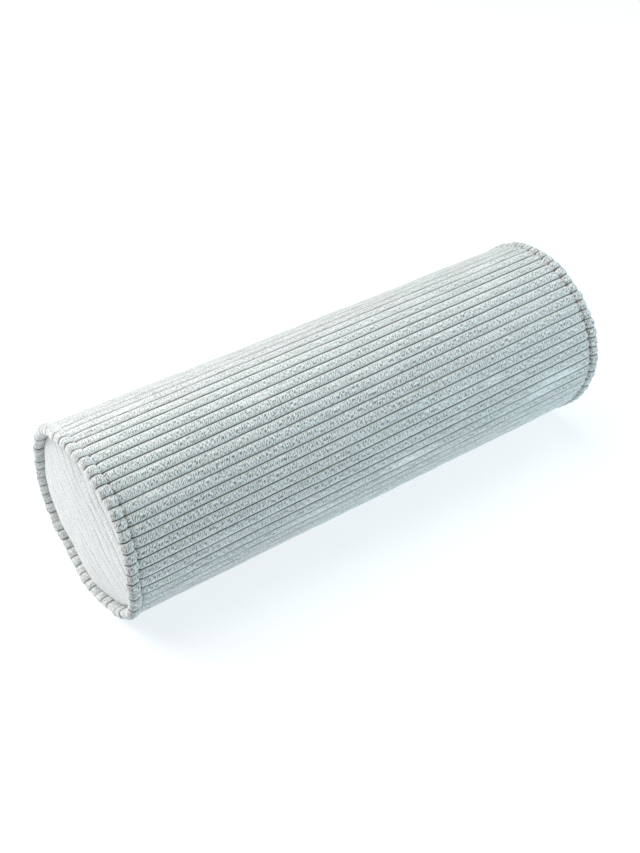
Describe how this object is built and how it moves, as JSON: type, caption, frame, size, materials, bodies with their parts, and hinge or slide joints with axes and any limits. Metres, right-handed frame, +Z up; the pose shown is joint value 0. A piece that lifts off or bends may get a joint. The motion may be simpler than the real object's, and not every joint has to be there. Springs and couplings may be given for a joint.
{
  "type": "bolster cushion",
  "caption": "Round bolster cushion in pale wide-wale corduroy, with topstitched turned rims and domed end panels, lying on its side.",
  "frame": {"origin": "middle of the flat strip that the cushion rests on", "axes": "+X along the bolster from its left end to its right end, +Y to the back, +Z up"},
  "size_m": [0.4564, 0.1578, 0.1533],
  "materials": {
    "barrel_corduroy": "soft cut pile in wide wales, pale blue-grey, with a slight sheen where it is brushed",
    "panel_corduroy": "soft cut pile in wide wales, pale blue-grey"
  },
  "bodies": {
    "root": {"barrel": "barrel_corduroy", "end_panel_left": "panel_corduroy", "end_panel_right": "panel_corduroy"}
  },
  "joints": []
}
